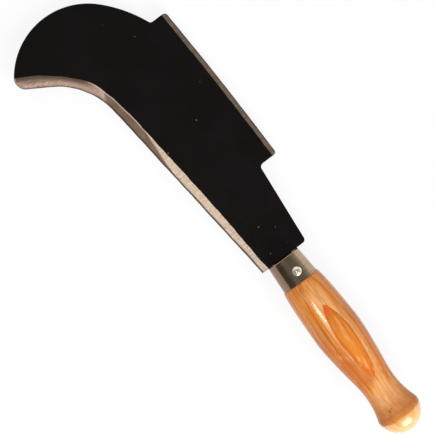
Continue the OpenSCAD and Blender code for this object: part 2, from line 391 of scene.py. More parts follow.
def through(stations, fine):
    """Smooth curve through (place, value) stations, read at the places fine: cubic pieces that meet with the
    slope between their neighbours."""
    place, value = np.asarray(stations, float).T
    slope = np.gradient(value, place)
    piece = np.clip(np.searchsorted(place, fine, side="right") - 1, 0, len(place) - 2)
    span = place[piece + 1] - place[piece]
    t = (fine - place[piece]) / span
    return ((1 + 2 * t) * (1 - t) ** 2 * value[piece] + t * (1 - t) ** 2 * span * slope[piece]
            + t ** 2 * (3 - 2 * t) * value[piece + 1] - t ** 2 * (1 - t) * span * slope[piece + 1])


def wander(run, spans, seed):
    """A slow random wave between -1 and 1: the mean of sines with fixed random starts, their wavelengths
    given in millimetres."""
    start = np.random.default_rng(seed).uniform(0, 2 * np.pi, len(spans))
    waves = [np.sin(2 * np.pi * run / (span * MM) + phase) for span, phase in zip(spans, start)]
    return np.mean(waves, axis=0)


def calm_ends(run, length):
    """1 along a curve, going evenly to 0 over a length at each end."""
    return np.clip(np.minimum(run, run[-1] - run) / length, 0, 1)


print("a quarter circle of 3 points:", np.round(arc((0, 0), 1, 0, 90, 3), 2).tolist())

# %% [markdown]
# ## Outline of the blade
# The blade is one plate, cut to a straight main edge that runs into the hollow of the hook, a round nose, a
# raised back plate with a second edge, and a narrow neck. The outline is lines and arcs that touch, as in the
# CAD source, so it is written as such a chain of curves. It runs clockwise, seen from above, starting at the
# heel of the main edge.

# %% Places on the blade
shoulder_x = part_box("ferrule")[1].x
half_plate, nose_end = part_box("blade")[1].z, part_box("blade")[1].x
FRONT_ANGLE, NECK_ANGLE, BEAK_ANGLE, CROWN_ANGLE = 5.4, 5.6, 58.0, -46.0
NOSE_RADIUS, HOOK_RADIUS, BEAK_RADIUS = 56.2 * MM, 58.7 * MM, 8.6 * MM
STRAIGHT_EDGE, BACK_START, BACK_LENGTH = 165.2 * MM, 66.4 * MM, 135.8 * MM
HEEL_Y, NOSE_Y, CROWN_Y, NECK_Y = 19.2 * MM, 35.1 * MM, -27.6 * MM, -21.8 * MM
BACK_NOSE_Y, BACK_HEEL_Y = -41.6 * MM, -44.4 * MM

heel = np.array([shoulder_x, HEEL_Y])
hook_from = heel + STRAIGHT_EDGE * np.array([1, np.tan(np.radians(FRONT_ANGLE))])
hook_centre = hook_from + HOOK_RADIUS * unit(FRONT_ANGLE + 90)
hook_to = hook_centre + HOOK_RADIUS * unit(BEAK_ANGLE - 90)
nose_centre = np.array([nose_end - NOSE_RADIUS, NOSE_Y])
back_end = shoulder_x + BACK_START + BACK_LENGTH
crown_foot = np.array([back_end, CROWN_Y])

# The beak's small circle touches the straight end of the edge and, from inside, the circle of the nose.
reach = hook_to + BEAK_RADIUS * unit(BEAK_ANGLE - 90) - nose_centre
ahead = reach @ unit(BEAK_ANGLE)
run = -ahead + np.sqrt(ahead ** 2 - reach @ reach + (NOSE_RADIUS - BEAK_RADIUS) ** 2)
beak_centre = nose_centre + reach + run * unit(BEAK_ANGLE)
beak_from = beak_centre + BEAK_RADIUS * unit(BEAK_ANGLE + 90)
tip_angle = angle_of(beak_centre - nose_centre)

# The crown's wider circle goes on from the nose at CROWN_ANGLE and ends at the foot of the back plate.
foot = crown_foot - nose_centre
crown_extra = (foot @ foot - NOSE_RADIUS ** 2) / 2 / (NOSE_RADIUS - foot @ unit(CROWN_ANGLE))
crown_radius = NOSE_RADIUS + crown_extra
crown_centre = nose_centre - crown_extra * unit(CROWN_ANGLE)
print("in mm: beak centre", np.round(beak_centre / MM, 1), "crown radius", round(crown_radius / MM, 1))

# %% [markdown]
# Both cutting edges are ground by hand, so the line of the edge and the width of the ground face waver a
# little. The beak's rounded point runs from the edge up to the end of the ground face, so the points on it
# double as the last column of the ground face. The same holds for the two ends of the back plate's face and
# for the heel.

# %% Main edge, beak and nose
ROWS, BACK_ROWS = 12, 6
across_face = 1 - np.cos(np.radians(np.linspace(0, 90, ROWS)))
across_back = np.linspace(0, 1, BACK_ROWS)
STRAIGHT_POINTS, HOOK_POINTS, BEAK_POINTS = 240, 90, 30
EDGE_WAVER, EDGE_CALM = 0.16 * MM, 12 * MM

edge = chain(line(heel, hook_from, STRAIGHT_POINTS),
             arc(hook_centre, HOOK_RADIUS, FRONT_ANGLE - 90, BEAK_ANGLE - 90, HOOK_POINTS),
             line(hook_to, beak_from, BEAK_POINTS))
heading = np.concatenate([np.full(STRAIGHT_POINTS - 1, FRONT_ANGLE),
                          np.linspace(FRONT_ANGLE, BEAK_ANGLE, HOOK_POINTS),
                          np.full(BEAK_POINTS - 1, BEAK_ANGLE)])
to_plate = unit(heading - 90)
edge_run = run_of(edge)
edge_calm = calm_ends(edge_run, EDGE_CALM)
edge = edge + (EDGE_WAVER * (1 + wander(edge_run, (61, 27, 13), 4)) * edge_calm)[:, None] * to_plate

beak = arc(beak_centre, BEAK_RADIUS, BEAK_ANGLE + 90, BEAK_ANGLE, ROWS)
nose = chain(arc(beak_centre, BEAK_RADIUS, BEAK_ANGLE, tip_angle, 4),
             arc(nose_centre, NOSE_RADIUS, tip_angle, CROWN_ANGLE, 140),
             arc(crown_centre, crown_radius, CROWN_ANGLE, angle_of(crown_foot - crown_centre), 60))
print("main edge in mm:", round(edge_run[-1] / MM, 1), "points so far:", len(edge) + len(beak) + len(nose))

# %% Back plate
BACK_POINTS, BACK_BOW, BACK_GRIND, BACK_WAVER = 190, 0.9 * MM, 3.8 * MM, 0.1 * MM
BACK_CALM = BACK_LENGTH / 20
back_nose = np.array([back_end, BACK_NOSE_Y])
back_heel = np.array([shoulder_x + BACK_START, BACK_HEEL_Y])
grind = np.array([0, BACK_GRIND])
step_nose = line(crown_foot, back_nose + grind, 16)
end_nose = line(back_nose + grind, back_nose, BACK_ROWS)
share = np.linspace(0, 1, BACK_POINTS)
back_run = share * BACK_LENGTH
back_calm = calm_ends(back_run, BACK_CALM)
back = line(back_nose, back_heel, BACK_POINTS)
back[:, 1] -= 4 * BACK_BOW * share * (1 - share)
back[:, 1] += BACK_WAVER * (1 + wander(back_run, (70, 31, 12), 9)) * back_calm
end_heel = line(back_heel, back_heel + grind, BACK_ROWS)
print("back plate's edge in mm:", round(run_of(back)[-1] / MM, 1))

# %% Neck, shoulder and the whole outline
STEP_FILLET, SHOULDER_RADIUS, HEEL_GRIND = 3.4 * MM, 3.0 * MM, 5.8 * MM
neck_slope = np.radians(NECK_ANGLE)


def beside_neck(from_shoulder, radius):
    """Centre of a circle that touches the neck's line, outside it where the radius is given as negative."""
    neck_y = NECK_Y - from_shoulder * np.tan(neck_slope)
    return np.array([shoulder_x + from_shoulder, neck_y + radius / np.cos(neck_slope)])


fillet = arc(beside_neck(BACK_START - STEP_FILLET, -STEP_FILLET), STEP_FILLET, 0, 90 - NECK_ANGLE, 12)
corner = arc(beside_neck(SHOULDER_RADIUS, SHOULDER_RADIUS), SHOULDER_RADIUS, -90 - NECK_ANGLE, -180, 12)
step_heel = line(back_heel + grind, fillet[0], 12)
neck = line(fillet[-1], corner[0], 90)
heel_end = np.stack([np.full(ROWS, shoulder_x), heel[1] - HEEL_GRIND * across_face], axis=1)
shoulder = line(corner[-1], heel_end[-1], 40)

outline = chain(edge, beak, nose, step_nose, end_nose, back, end_heel, step_heel, fillet, neck, corner,
                shoulder, heel_end[::-1])[:-1]
ends = np.cumsum([len(edge), *[len(part) - 1 for part in (beak, nose, step_nose, end_nose, back, end_heel)]])
edge_end, beak_end, notch, grind_a, corner_a, corner_b, grind_b = ends - 1
heel_start = len(outline) - ROWS + 1
print("outline points:", len(outline))

# %% [markdown]
# The outer corners of the back plate and the notch beside it are not sharp: the grinder and the lacquer
# soften them. Pulling the points near a corner towards their neighbours, again and again, rounds it without
# new curves.

# %% Soften three corners
def soften(points, places, width, passes):
    """Rounds a closed outline near some of its points: in each pass a point moves half way to the middle of
    its two neighbours, weighted by a bell curve of that width, in points, round the nearest of the places."""
    count = len(points)
    gap = np.abs(np.arange(count)[:, None] - np.asarray(places)[None, :])
    near = np.minimum(gap, count - gap).min(axis=1)
    weight = 0.5 * np.exp(-(near / width) ** 2)[:, None]
    for _ in range(passes):
        middle = (np.roll(points, 1, axis=0) + np.roll(points, -1, axis=0)) / 2
        points = points + weight * (middle - points)
    return points


outline = soften(outline, [notch], width=2.0, passes=8)
outline = soften(outline, [corner_a, corner_b], width=3.0, passes=14)
outline_run = run_of(outline)
print("outline length in mm:", round(outline_run[-1] / MM, 1))

# %% [markdown]
# ## Ground faces of the blade
# Each cutting edge is ground from both sides. The wheel leaves two strips that meet in a faint ridge: the
# face is slightly hollow along the straight edge and slightly domed in the hook. A bevel modifier gives only
# flat chamfers of one width. Here each face is a grid between the edge and the line where the grinding ends,
# whose width follows the hand of the grinder.

# %% Heights round the outline
HALF_EDGE = 0.3 * MM
RIDGE = across_face[7]
RIDGE_STRAIGHT, RIDGE_HOOK, RIDGE_BACK = 0.36, 0.58, 0.5


def rise_of_face(share, ridge_height):
    """Height of a ground face above the middle of the plate: two flat strips that meet in a ridge at the
    share RIDGE of the way from the edge to the flat. The ridge height is a share of the whole rise."""
    low = ridge_height * share / RIDGE
    high = ridge_height + (1 - ridge_height) * (share - RIDGE) / (1 - RIDGE)
    return HALF_EDGE + (half_plate - HALF_EDGE) * np.where(share < RIDGE, low, high)


rise_back = rise_of_face(across_back, RIDGE_BACK)
tall = np.full(len(outline), half_plate)
tall[:edge_end] = HALF_EDGE
tall[edge_end:beak_end + 1] = rise_of_face(across_face, RIDGE_HOOK)
tall[grind_a:corner_a + 1] = rise_back[::-1]
tall[corner_a:corner_b + 1] = HALF_EDGE
tall[corner_b:grind_b + 1] = rise_back
tall[heel_start:] = rise_of_face(across_face, RIDGE_STRAIGHT)[:0:-1]
print("plate and edge thickness in mm:", round(2 * half_plate / MM, 2), round(2 * HALF_EDGE / MM, 2))

# %% Rounded rim of the plate
LIP, LIP_OF_EDGE, LIP_TURN = 0.35 * MM, 0.8, 0.3


def inward(points):
    """Directions to the inside of a closed clockwise outline: the right-hand sides of the two lines that meet
    at a point, added and lengthened so that both lines shift by the same distance."""
    ahead = np.roll(points, -1, axis=0) - points
    ahead = ahead / np.linalg.norm(ahead, axis=1, keepdims=True)
    right = np.stack([ahead[:, 1], -ahead[:, 0]], axis=1)
    before = np.roll(right, 1, axis=0)
    return (right + before) / np.maximum(1 + np.sum(right * before, axis=1), 0.5)[:, None]


lip = np.minimum(LIP, LIP_OF_EDGE * tall)
inner = outline + lip[:, None] * inward(outline)
between = outline + LIP_TURN * lip[:, None] * inward(outline)
upper_rows = [(inner, tall), (between, tall - LIP_TURN * lip), (outline, tall - lip)]
rim_rows = upper_rows + [(plan, -height) for plan, height in upper_rows[::-1]]
RIM_ROWS = len(rim_rows)
rim_strip = np.concatenate([np.column_stack(row) for row in rim_rows])
print("rim points:", len(rim_strip))

# %% The two ground faces
GRIND_WIDTHS = [(0, 5.8), (8, 5.3), (24, 5.8), (48, 6.8), (75, 7.1), (100, 7.3), (130, 7.2), (152, 7.3),
                (168, 6.5), (178, 6.5), (192, 7.8), (204, 7.1), (216, 7.8), (226, 9.4), (235, 9.8),
                (250, 8.6)]
WIDTH_WAVER, BACK_WIDTH_WAVER, HOLLOW = 0.12 * MM, 0.15 * MM, 0.05 * MM
END_REACH, BACK_END_REACH = 24 * MM, 6 * MM


def ground_face(bottom, top, left, right, across, along, reach):
    """Grid between a cutting edge and the line where its grinding ends: at the share w across it is
    (1 - w) bottom + w top, moved near each end by what is missing there to the end curves left and right."""
    share = across[:, None, None]
    face = (1 - share) * bottom + share * top
    near_right = np.clip(1 - (along[-1] - along) / reach, 0, 1)[:, None] ** 2
    near_left = np.clip(1 - along / reach, 0, 1)[:, None] ** 2
    return face + near_right * (right[:, None] - face[:, -1:]) + near_left * (left[:, None] - face[:, :1])


front_width = through(GRIND_WIDTHS, edge_run / MM) * MM
front_width = front_width + WIDTH_WAVER * wander(edge_run, (19, 9), 12) * edge_calm
heel_loop = np.concatenate([[0], np.arange(len(outline) - 1, heel_start - 1, -1)])
front = ground_face(inner[:edge_end + 1], edge + front_width[:, None] * to_plate, inner[heel_loop],
                    inner[edge_end:beak_end + 1], across_face, edge_run, END_REACH)
hollow = HOLLOW * (1 + wander(edge_run, (38, 17), 21)) * edge_calm
ridge_height = np.interp(edge_run / MM, (150, 200), (RIDGE_STRAIGHT, RIDGE_HOOK))
front_height = (rise_of_face(across_face[:, None], ridge_height)
                - (4 * across_face * (1 - across_face))[:, None] * hollow)

back_top = back + grind
back_top[:, 1] += BACK_WIDTH_WAVER * wander(back_run, (52, 23, 9), 15) * back_calm
rear = ground_face(inner[corner_a:corner_b + 1], back_top, inner[grind_a:corner_a + 1][::-1],
                   inner[corner_b:grind_b + 1], across_back, back_run, BACK_END_REACH)
rear_height = np.broadcast_to(rise_back[:, None], rear.shape[:2])
size_rim, size_front, size_rear = len(outline), front_height.size, rear_height.size
print("ground face points:", size_front + size_rear)

# %% [markdown]
# Behind the shoulder the plate goes on as a tang, a plain tapered bar that is driven into the wood. It is
# hidden in the finished tool, but the blade is one forging, so the bar belongs to the same mesh.

# %% Tang
TANG_LENGTH, TANG_END, TANG_ROOT, TANG_HALF = 100 * MM, 3.5 * MM, 8 * MM, 2.5 * MM
TANG_ROWS, TANG_SIDES, SQUARENESS = 12, 32, 0.3


def squared(wave):
    """A sine or cosine drawn out to a squarer wave: |w| to the power of SQUARENESS, with its sign."""
    return np.sign(wave) * np.abs(wave) ** SQUARENESS


# Bar along X whose section is a squared-off ellipse: its half width goes evenly from one end to the other.
angle = np.linspace(0, 2 * np.pi, TANG_SIDES, endpoint=False)
tang_x = np.linspace(shoulder_x - TANG_LENGTH, shoulder_x, TANG_ROWS)[:, None]
tang_y = np.linspace(TANG_END, TANG_ROOT, TANG_ROWS)[:, None] * squared(np.cos(angle))
tang_rings = np.broadcast_arrays(tang_x, tang_y, TANG_HALF * squared(np.sin(angle)))
tang = np.stack(tang_rings, axis=-1).reshape(-1, 3)
print("tang points:", len(tang))

# %% Numbers of the blade's faces
def over_blade(rim, front, rear, tang):
    """Rows for all points of the blade, in the order of its grids: both sides have their own ground faces."""
    return np.concatenate([rim, *front, *rear, tang])


def two_sides(plan, height):
    """A grid of points on the upper side, and the same on the lower side."""
    return [np.dstack([plan, sign * height]).reshape(-1, 3) for sign in (1, -1)]


def flat_side(rim_row, front_start, rear_start):
    """Corner numbers of one flat of the plate: the line where the main grinding ends, the rim round the nose,
    the line where the back grinding ends, and the rim round the neck."""
    front_line = front_start + size_front - front.shape[1] + np.arange(front.shape[1])
    rear_line = rear_start + size_rear - rear.shape[1] + np.arange(rear.shape[1])
    rim_nose = rim_row * size_rim + np.arange(beak_end + 1, grind_a)
    rim_neck = rim_row * size_rim + np.arange(grind_b + 1, heel_start)
    return np.concatenate([front_line, rim_nose, rear_line, rim_neck])


blade_points = over_blade(rim_strip, two_sides(front, front_height), two_sides(rear, rear_height), tang)
starts = np.cumsum([0, len(rim_strip), size_front, size_front, size_rear, size_rear])
quads = [grid_quads(RIM_ROWS, size_rim, wrap_columns=True),
         *[grid_quads(*front_height.shape, first=start) for start in starts[1:3]],
         *[grid_quads(*rear_height.shape, first=start) for start in starts[3:5]],
         grid_quads(TANG_ROWS, TANG_SIDES, wrap_columns=True, first=starts[5])]
tang_ends = [starts[5] + row * TANG_SIDES + np.arange(TANG_SIDES) for row in (0, TANG_ROWS - 1)]
flats = [flat_side(0, starts[1], starts[3]), flat_side(RIM_ROWS - 1, starts[2], starts[4]), *tang_ends]
blade_faces = [*np.concatenate(quads), *flats]
print("blade faces:", len(blade_faces))

# %% [markdown]
# ## Finishes of the blade
# The forging is dipped in black lacquer, which keeps the soft waves of the hammered plate and picks up a few
# specks of dust and chips. Both edges are ground afterwards, so they are bare steel: streaky, slightly warm,
# with some brown spots where water has dried. One colour each would look like plastic, so both are mixed from
# noise at several sizes.

# %% Black lacquer
lacquer, place = new_finish("black lacquer")
dots = place.cells(140.0, voronoi_dimensions="2D")
few = place.parts()[0].zone(90, 140, 0.82, 0.965)
speck = dots["Distance"].math("LESS_THAN", dots["Color"].parts()[0].spread(few, 1.0, 0.0, 0.08))
chip = place.effect(worn, place.put("Attribute", attribute_name="rim")["Fac"], 0.42)["Mask"]
black = lay(place.noise(24.0, 4.0, 0.6).spread(0.35, 0.7).mix((17, 12, 12), (21, 16, 17)),
            (speck * 0.3, (160, 154, 148)), (chip, (80, 70, 62)))
skin = place.noise(900.0, 3.0) + place.noise(60.0) * 3.0
dress(lacquer, {"Base Color": black, "Roughness": place.gloss(40.0, 0.2, 0.3), "Metallic": chip,
                "Normal": skin.bump(0.015 * MM), "Specular IOR Level": 0.14})

# %% [markdown]
# The ground steel is not one tone. Along the straight edge it is pale and crossed by fine marks of the wheel,
# then a brown tarnish creeps in from the edge up to the start of the hook. In the hook the face is painted
# darker towards the plate, a painted shade where the face turns from the light, and the wrinkles near the
# beak get dark and pale stripes, their painted shade and painted highlight. A pale line near the top of the
# ground face is a painted highlight, the colour darkens along the very edge, and the back face is painted
# darker all over, a painted shade of the side away from the lamps. These zones follow the edge, so the
# material reads the face's own map: its first number runs along the edge, its second away from it, both in
# metres. Noise makes both drift, so that no zone ends in a ruled line. The map of the back face starts at
# 0.4 m, past the end of the main edge.

# %% Ground steel: places
steel, place = new_finish("ground steel")
flow = place.put("UVMap", uv_map="flow")[0]
share = place.put("Attribute", attribute_name="ground")["Fac"]
marks = flow.stretch(turn=86).effect(drawn, 2600.0, 9.0)
map_along, map_away, _ = flow.parts()
drift = place.noise(130.0, 4.0, 0.6) - 0.5
along, away = map_along + drift * (12 * MM), map_away + drift * (1.4 * MM)
slant = along + away * -0.8
creep = (along - 100 * MM) * 0.17
tarnish = (creep - away).zone(-1.2, 0.6) * slant.zone(179, 174)
# Painted shade: in the hook the face is painted darker towards the plate, where it turns from the light.
by_plate_shade = share.spread(0.2, 0.88) * along.zone(182, 198)
# The wrinkles near the beak are a relief. The dark and pale stripes laid along them in the colour are their
# painted shade and painted highlight.
furrows = flow.stretch(turn=-55).stretch((640, 170, 1)).noise(1.0, 3.0, 0.6)
in_beak = along.zone(196, 218) * share.spread(0.8, 0.5)
wrinkle = furrows * in_beak
sand = place.noise(800.0, 4.0, 0.7)
# Painted highlight: a pale line near the top of the ground face, along the later part of the straight edge.
crest_highlight = share.spread(0.84, 0.93) * (along.zone(136, 146) * along.zone(194, 186))
stain = place.noise(170.0, 5.0, 0.65).spread(0.58, 0.72) * map_along.zone(26, 12, 0.12, 0.7)
# Darker along the very edge, most along the straight part; the next coat darkens it further right at the
# edge.
dark_along_edge = away.zone(2.0, 0.5) * along.zone(195, 170, 0.35, 0.9)
print("nodes so far:", len(steel.node_tree.nodes))

# %% Ground steel: colours
brown = place.noise(90.0, 3.0).spread(0.35, 0.65).mix((134, 106, 88), (146, 126, 104))
ground = lay(marks["Streak"].mix((241, 210, 182), (254, 235, 212)),
             (tarnish, brown),
             (slant.zone(173, 183), by_plate_shade.mix((207, 176, 158), (98, 79, 62))),
             (wrinkle.spread(0.46, 0.62, 0.0, 0.5), (112, 86, 68)),
             (furrows.spread(0.48, 0.36, 0.0, 0.5) * in_beak, (232, 204, 180)),
             (sand.spread(0.44, 0.68, 0.0, 0.4), (118, 98, 82)),
             (crest_highlight * 0.8, (230, 206, 192)),
             # Painted shade: the back face is painted darker, as the side that faces away from the lamps.
             (map_along.zone(330, 380), marks["Streak"].mix((112, 96, 82), (132, 114, 98))),
             (stain, (140, 108, 80)),
             (dark_along_edge, (92, 72, 58)),
             (away.zone(0.7, 0.2, 0.0, 0.7), (70, 56, 46)))
relief = marks["Height"] + wrinkle * 3.0
dress(steel, {"Base Color": ground, "Roughness": place.gloss(70.0, 0.5, 0.64), "Metallic": 0.5,
              "Normal": relief.bump(0.03 * MM, 0.6)})

# %% Blade
BACK_MAP = 0.4
columns = np.arange(size_rim)
on_edge = (columns < edge_end) | ((columns >= corner_a) & (columns < corner_b))
blade_bare = np.concatenate([np.tile(on_edge, RIM_ROWS - 1), np.ones(sum(map(len, quads[1:5])), bool),
                             np.zeros(len(quads[5]) + len(flats), bool)]).astype(np.int32)
blade_smooth = np.arange(len(blade_faces)) < len(blade_faces) - len(flats)
row_of_point = np.arange(len(blade_points)) // size_rim
blade_rim = (row_of_point > 0) & (row_of_point < RIM_ROWS - 1)


def face_map(run, width, across):
    """Map of a ground face: the way along its edge and the way from its edge, for each point of its grid."""
    return np.dstack(np.broadcast_arrays(run, across[:, None] * width)).reshape(-1, 2)


rim_flow = np.tile(np.column_stack([outline_run, 0 * outline_run]), (RIM_ROWS, 1))
blade_flow = over_blade(rim_flow, [face_map(edge_run, front_width, across_face)] * 2,
                        [face_map(back_run + BACK_MAP, BACK_GRIND, across_back)] * 2,
                        np.zeros((len(tang), 2)))
blade_share = over_blade(np.zeros(len(rim_strip)), [np.repeat(across_face, front.shape[1])] * 2,
                         [np.repeat(across_back, rear.shape[1])] * 2, np.zeros(len(tang)))
make_piece("forged_blade", blade_points, blade_faces, "blade", [lacquer, steel],
           marked={"rim": blade_rim, "ground": blade_share}, flow=blade_flow, smooth=blade_smooth,
           bare=blade_bare)

# %% [markdown]
# ## Ferrule and rivet
# The ferrule is a short tapered steel tube that keeps the wood from splitting. It was turned and polished, so
# fine lines run round it. A cylinder with a Solidify modifier would do for the tube. A closed profile carried
# round the axis gives its rounded rims and its wall in one go, with a few shallow dents from being driven on.

# %% Profile of the ferrule
ferrule_from, ferrule_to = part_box("ferrule")[0].x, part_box("ferrule")[1].x
MOUTH_RADIUS, END_RADIUS, WALL, RIM, MOUTH_RIM = 13.7 * MM, 15.2 * MM, 1.2 * MM, 0.25 * MM, 0.95 * MM
NEAR_RIM, DENT = 0.0015, 0.05 * MM
slope_of_tube = np.degrees(np.arctan2(END_RADIUS - MOUTH_RADIUS, ferrule_to - ferrule_from))
mouth_rim = arc((ferrule_to - MOUTH_RIM, MOUTH_RADIUS - MOUTH_RIM), MOUTH_RIM, 0, 90 - slope_of_tube, 14)
end_rim = arc((ferrule_from + RIM, END_RADIUS - RIM), RIM, 90 - slope_of_tube, 250, 12)
outside = line(mouth_rim[-1], (1 - NEAR_RIM) * end_rim[0] + NEAR_RIM * mouth_rim[-1], 36)[1:]
inside = line(end_rim[-1] - [0, WALL - 2 * RIM], (ferrule_to, MOUTH_RADIUS - WALL), 20)
ferrule_profile = np.concatenate([mouth_rim, outside, end_rim, inside])


def driven_dents(along, angle):
    """Shallow dents, inwards only: slow waves round and along the tube, at most DENT deep."""
    return -DENT / 2 * (1 + np.sin(3 * angle + 140 * along) * np.sin(5 * angle - 230 * along))


print("taper of the ferrule in degrees:", round(slope_of_tube, 2))

# %% Ferrule
tube_steel, place = new_finish("turned steel")
marks = place.stretch((1, 1, 0.05), turn=90).effect(drawn, 3200.0, 20.0)
dull = place.noise(120.0, 4.0, 0.65).spread(0.52, 0.72)
tube = lay(marks["Streak"].mix((166, 145, 120), (182, 160, 134)), (dull * 0.4, (134, 112, 84)),
           # Painted shade: the tube is painted browner and darker on the side of the main edge, past 8.2 mm
           # from its axis.
           (place.parts()[1].zone(8.2, 9.8), (142, 116, 98)))
dress(tube_steel, {"Base Color": tube, "Roughness": place.gloss(90.0, 0.02, 0.05), "Metallic": 1.0,
                   "Normal": marks["Height"].bump(0.001 * MM, 0.4)})
rim_row = np.arange(len(ferrule_profile)) - len(mouth_rim) - len(outside) + 1
crisp_row = (rim_row >= 0) & (rim_row < len(end_rim))
ferrule_points = turned(ferrule_profile, driven_dents)
make_piece("tapered_ferrule", ferrule_points, turned_quads(ferrule_points, closed=True), "ferrule",
           [tube_steel], smooth=np.repeat(~crisp_row, STEPS))

# %% [markdown]
# One rivet holds ferrule, wood and tang together. Its head is a low hammered dome with a thin flange that
# lies on the round tube, so the flange's rim follows the tube and is not a flat circle.

# %% Form of the rivet
RIVET_STEPS, HEAD_RADIUS, DOME_FOOT, FLAT_WITHIN = 64, 3.25 * MM, 0.3 * MM, 2.6 * MM
rivet_low, rivet_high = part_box("ferrule_rivet")
rivet_x, rivet_y = (rivet_low.x + rivet_high.x) / 2, (rivet_low.y + rivet_high.y) / 2
taper = (rivet_x - ferrule_from) / (ferrule_to - ferrule_from)
tube_radius = END_RADIUS + taper * (MOUTH_RADIUS - END_RADIUS)
seat = math.sqrt(tube_radius ** 2 - rivet_y ** 2)
head_share = np.linspace(0, 1, 14)
head_z = seat + DOME_FOOT + (rivet_high.z - seat - DOME_FOOT) * (1 - head_share ** 2)
flange_r = np.array([3.36, 3.48, 3.57, 3.6, 3.6, 2.0]) * MM
flange_z = seat + np.array([0.24, 0.2, 0.13, 0.04, -0.4, -0.5]) * MM
ring_r = np.concatenate([HEAD_RADIUS * head_share, flange_r])[:, None]
ring_z = np.concatenate([head_z, flange_z])[:, None]

angle = np.linspace(0, 2 * np.pi, RIVET_STEPS, endpoint=False)
hammer = 1 + 0.03 * np.sin(3 * angle + 0.6) + 0.02 * np.sin(5 * angle + 2.1)
ring_x, ring_y = ring_r * np.cos(angle), ring_r * np.sin(angle)
follow = np.sqrt(tube_radius ** 2 - (rivet_y + ring_y) ** 2) - seat
ring_z = np.minimum(ring_z + follow * np.clip((ring_r - FLAT_WITHIN) / MM, 0, 1), rivet_high.z)
upper = np.stack([rivet_x + ring_x * hammer, rivet_y + ring_y * hammer, ring_z], axis=-1)
rivet_rings = np.concatenate([upper, upper[::-1] * [1, 1, -1]])
print("height of the head in mm:", round((rivet_high.z - seat) / MM, 2))

# %% Rivet
rivet_steel, place = new_finish("hammered steel")
marks = place.effect(drawn, 1500.0, 3.0)
dress(rivet_steel, {"Base Color": marks["Streak"].mix((238, 224, 202), (252, 244, 230)),
                    "Roughness": place.gloss(300.0, 0.36, 0.44), "Metallic": 1.0,
                    "Normal": marks["Height"].bump(0.01 * MM, 0.5)})
rivet_quads = grid_quads(len(rivet_rings), RIVET_STEPS, wrap_columns=True)
make_piece("domed_rivet", rivet_rings.reshape(-1, 3), rivet_quads, "ferrule_rivet", [rivet_steel])

# %% [markdown]
# ## Handle
# The handle is turned on a lathe: a swell for the hand, a waist and a flared end that stops it from slipping.
# A lathe form is a profile spun round its axis, so the measured radii become a smooth curve and the curve
# goes round X. Its wood is one blank, so the handle and its end share one set of growth layers.

# %% Profile of the handle and its growth layers
GRIP_RADII = [(-73.6, 17.55), (-66, 15.35), (-58, 14.05), (-50, 13.75), (-42, 14.45), (-30, 16.15),
              (-18, 17.55), (-8, 18.6), (0, 18.95), (8, 18.8), (16, 18.47), (24, 18.1), (32, 17.65),
              (40, 16.95), (47.2, 15.95)]
grip_x = np.linspace(GRIP_RADII[-1][0], GRIP_RADII[0][0], 220)
grip = np.column_stack([grip_x, through(GRIP_RADII, grip_x)]) * MM
GRAIN_TURN, GRAIN_SHIFT = 2.6, (0, 5.3 * MM, 0)
BLANK = {"Pith height": 40 * MM, "Lean": -0.046, "Layer": 5.6 * MM, "First line": 23.69 * MM,
         "Waver": 0.9 * MM}


def layers_at(place):
    """The growth layers of this blank at a place, with the same values for the handle and its end."""
    return place.stretch(turn=GRAIN_TURN, shift=GRAIN_SHIFT).effect(grown, *BLANK.values())


print("grip thickness in mm:", round(2 * grip[:, 1].max() / MM, 2))

# %% [markdown]
# The varnish has turned the wood orange. The innermost layer shows as a dark loop with a soft line round it,
# the next one is pale, and the sides are painted a deeper orange, a painted shade where the grip turns from
# the light. The hand has darkened the back of the grip more than its front, and painted shade adds to this,
# most on the side of the main edge. The sides of the front are painted lighter, as painted light, and the
# rim is painted the darkest, a painted shade on the flare. Two small nicks show where the end was knocked. A
# nick is an oval patch, measured from its middle.

# %% Varnished wood: layers, hand wear, painted light and shade, and nicks
NICKS = ((-68.6, 6.0, 1.7, 0.5), (-67.8, 4.0, 0.9, 0.4))
varnish, place = new_finish("varnished wood")
layers = layers_at(place)
along, aside, height = place.parts()
flare = along.zone(-46, -55)
calm = flare * height.zone(4, 11)
late = layers["Late wood"] * (1.0 - calm * 0.8)
streaks = place.stretch((6, 380, 380)).noise(1.0, 3.0, 0.6)
# Darker towards the back of the grip and more on the side of the main edge: partly wear of the hand, partly
# painted shade.
palm_and_shade = along.zone(18, -24) * along.zone(-52, -40) * aside.zone(-7, 5, 0.35, 0.75)
from_middle = (along + 10 * MM).math("ABSOLUTE")
loop_tip = late.spread(0.72, 0.97) * from_middle.zone(23, 31)
# Painted light: both sides of the front of the grip are painted lighter.
painted_light_front = aside.math("ABSOLUTE").zone(6.5, 9.5) * along.zone(8, 22, 0.0, 0.27)


def nick(middle_x, middle_y, half_length, half_width):
    """An oval patch: 1 where the squared offsets, each over its half size, add up to little, else 0."""
    off_x, off_y = (along - middle_x * MM) / (half_length * MM), (aside - middle_y * MM) / (half_width * MM)
    return (off_x * off_x + off_y * off_y).spread(1.0, 0.3)


nicks = sum(nick(*sizes) for sizes in NICKS) * height.zone(0, 8)
print("nodes so far:", len(varnish.node_tree.nodes))

